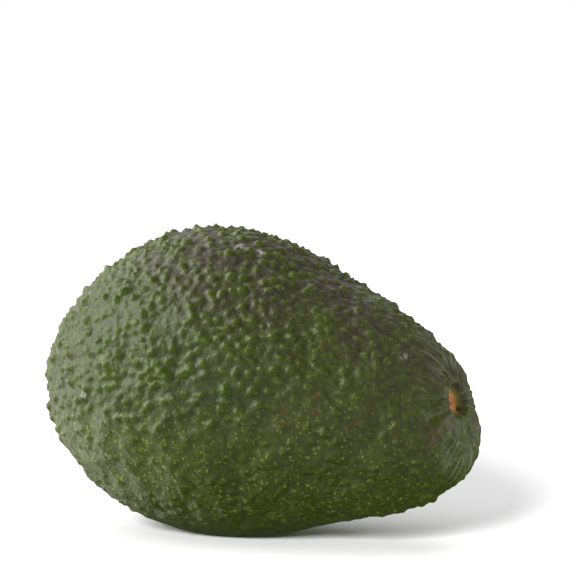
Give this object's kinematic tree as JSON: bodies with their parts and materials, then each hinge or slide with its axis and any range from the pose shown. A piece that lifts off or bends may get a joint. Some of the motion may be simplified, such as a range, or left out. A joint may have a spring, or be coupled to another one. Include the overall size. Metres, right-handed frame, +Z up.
{
  "type": "avocado",
  "caption": "Whole pebbled green avocado, pear-shaped, lying on its side with the dimple that its stem grew out of.",
  "frame": {"origin": "on the surface the fruit rests on, under the middle of its length and width", "axes": "+X towards the stem end, along the fruit's length; +Z up as it lies"},
  "size_m": [0.1024, 0.0648, 0.0689],
  "materials": {
    "skin": "pebbled waxy green fruit skin with a soft gloss"
  },
  "bodies": {
    "root": {"avocado": "skin"}
  },
  "joints": []
}
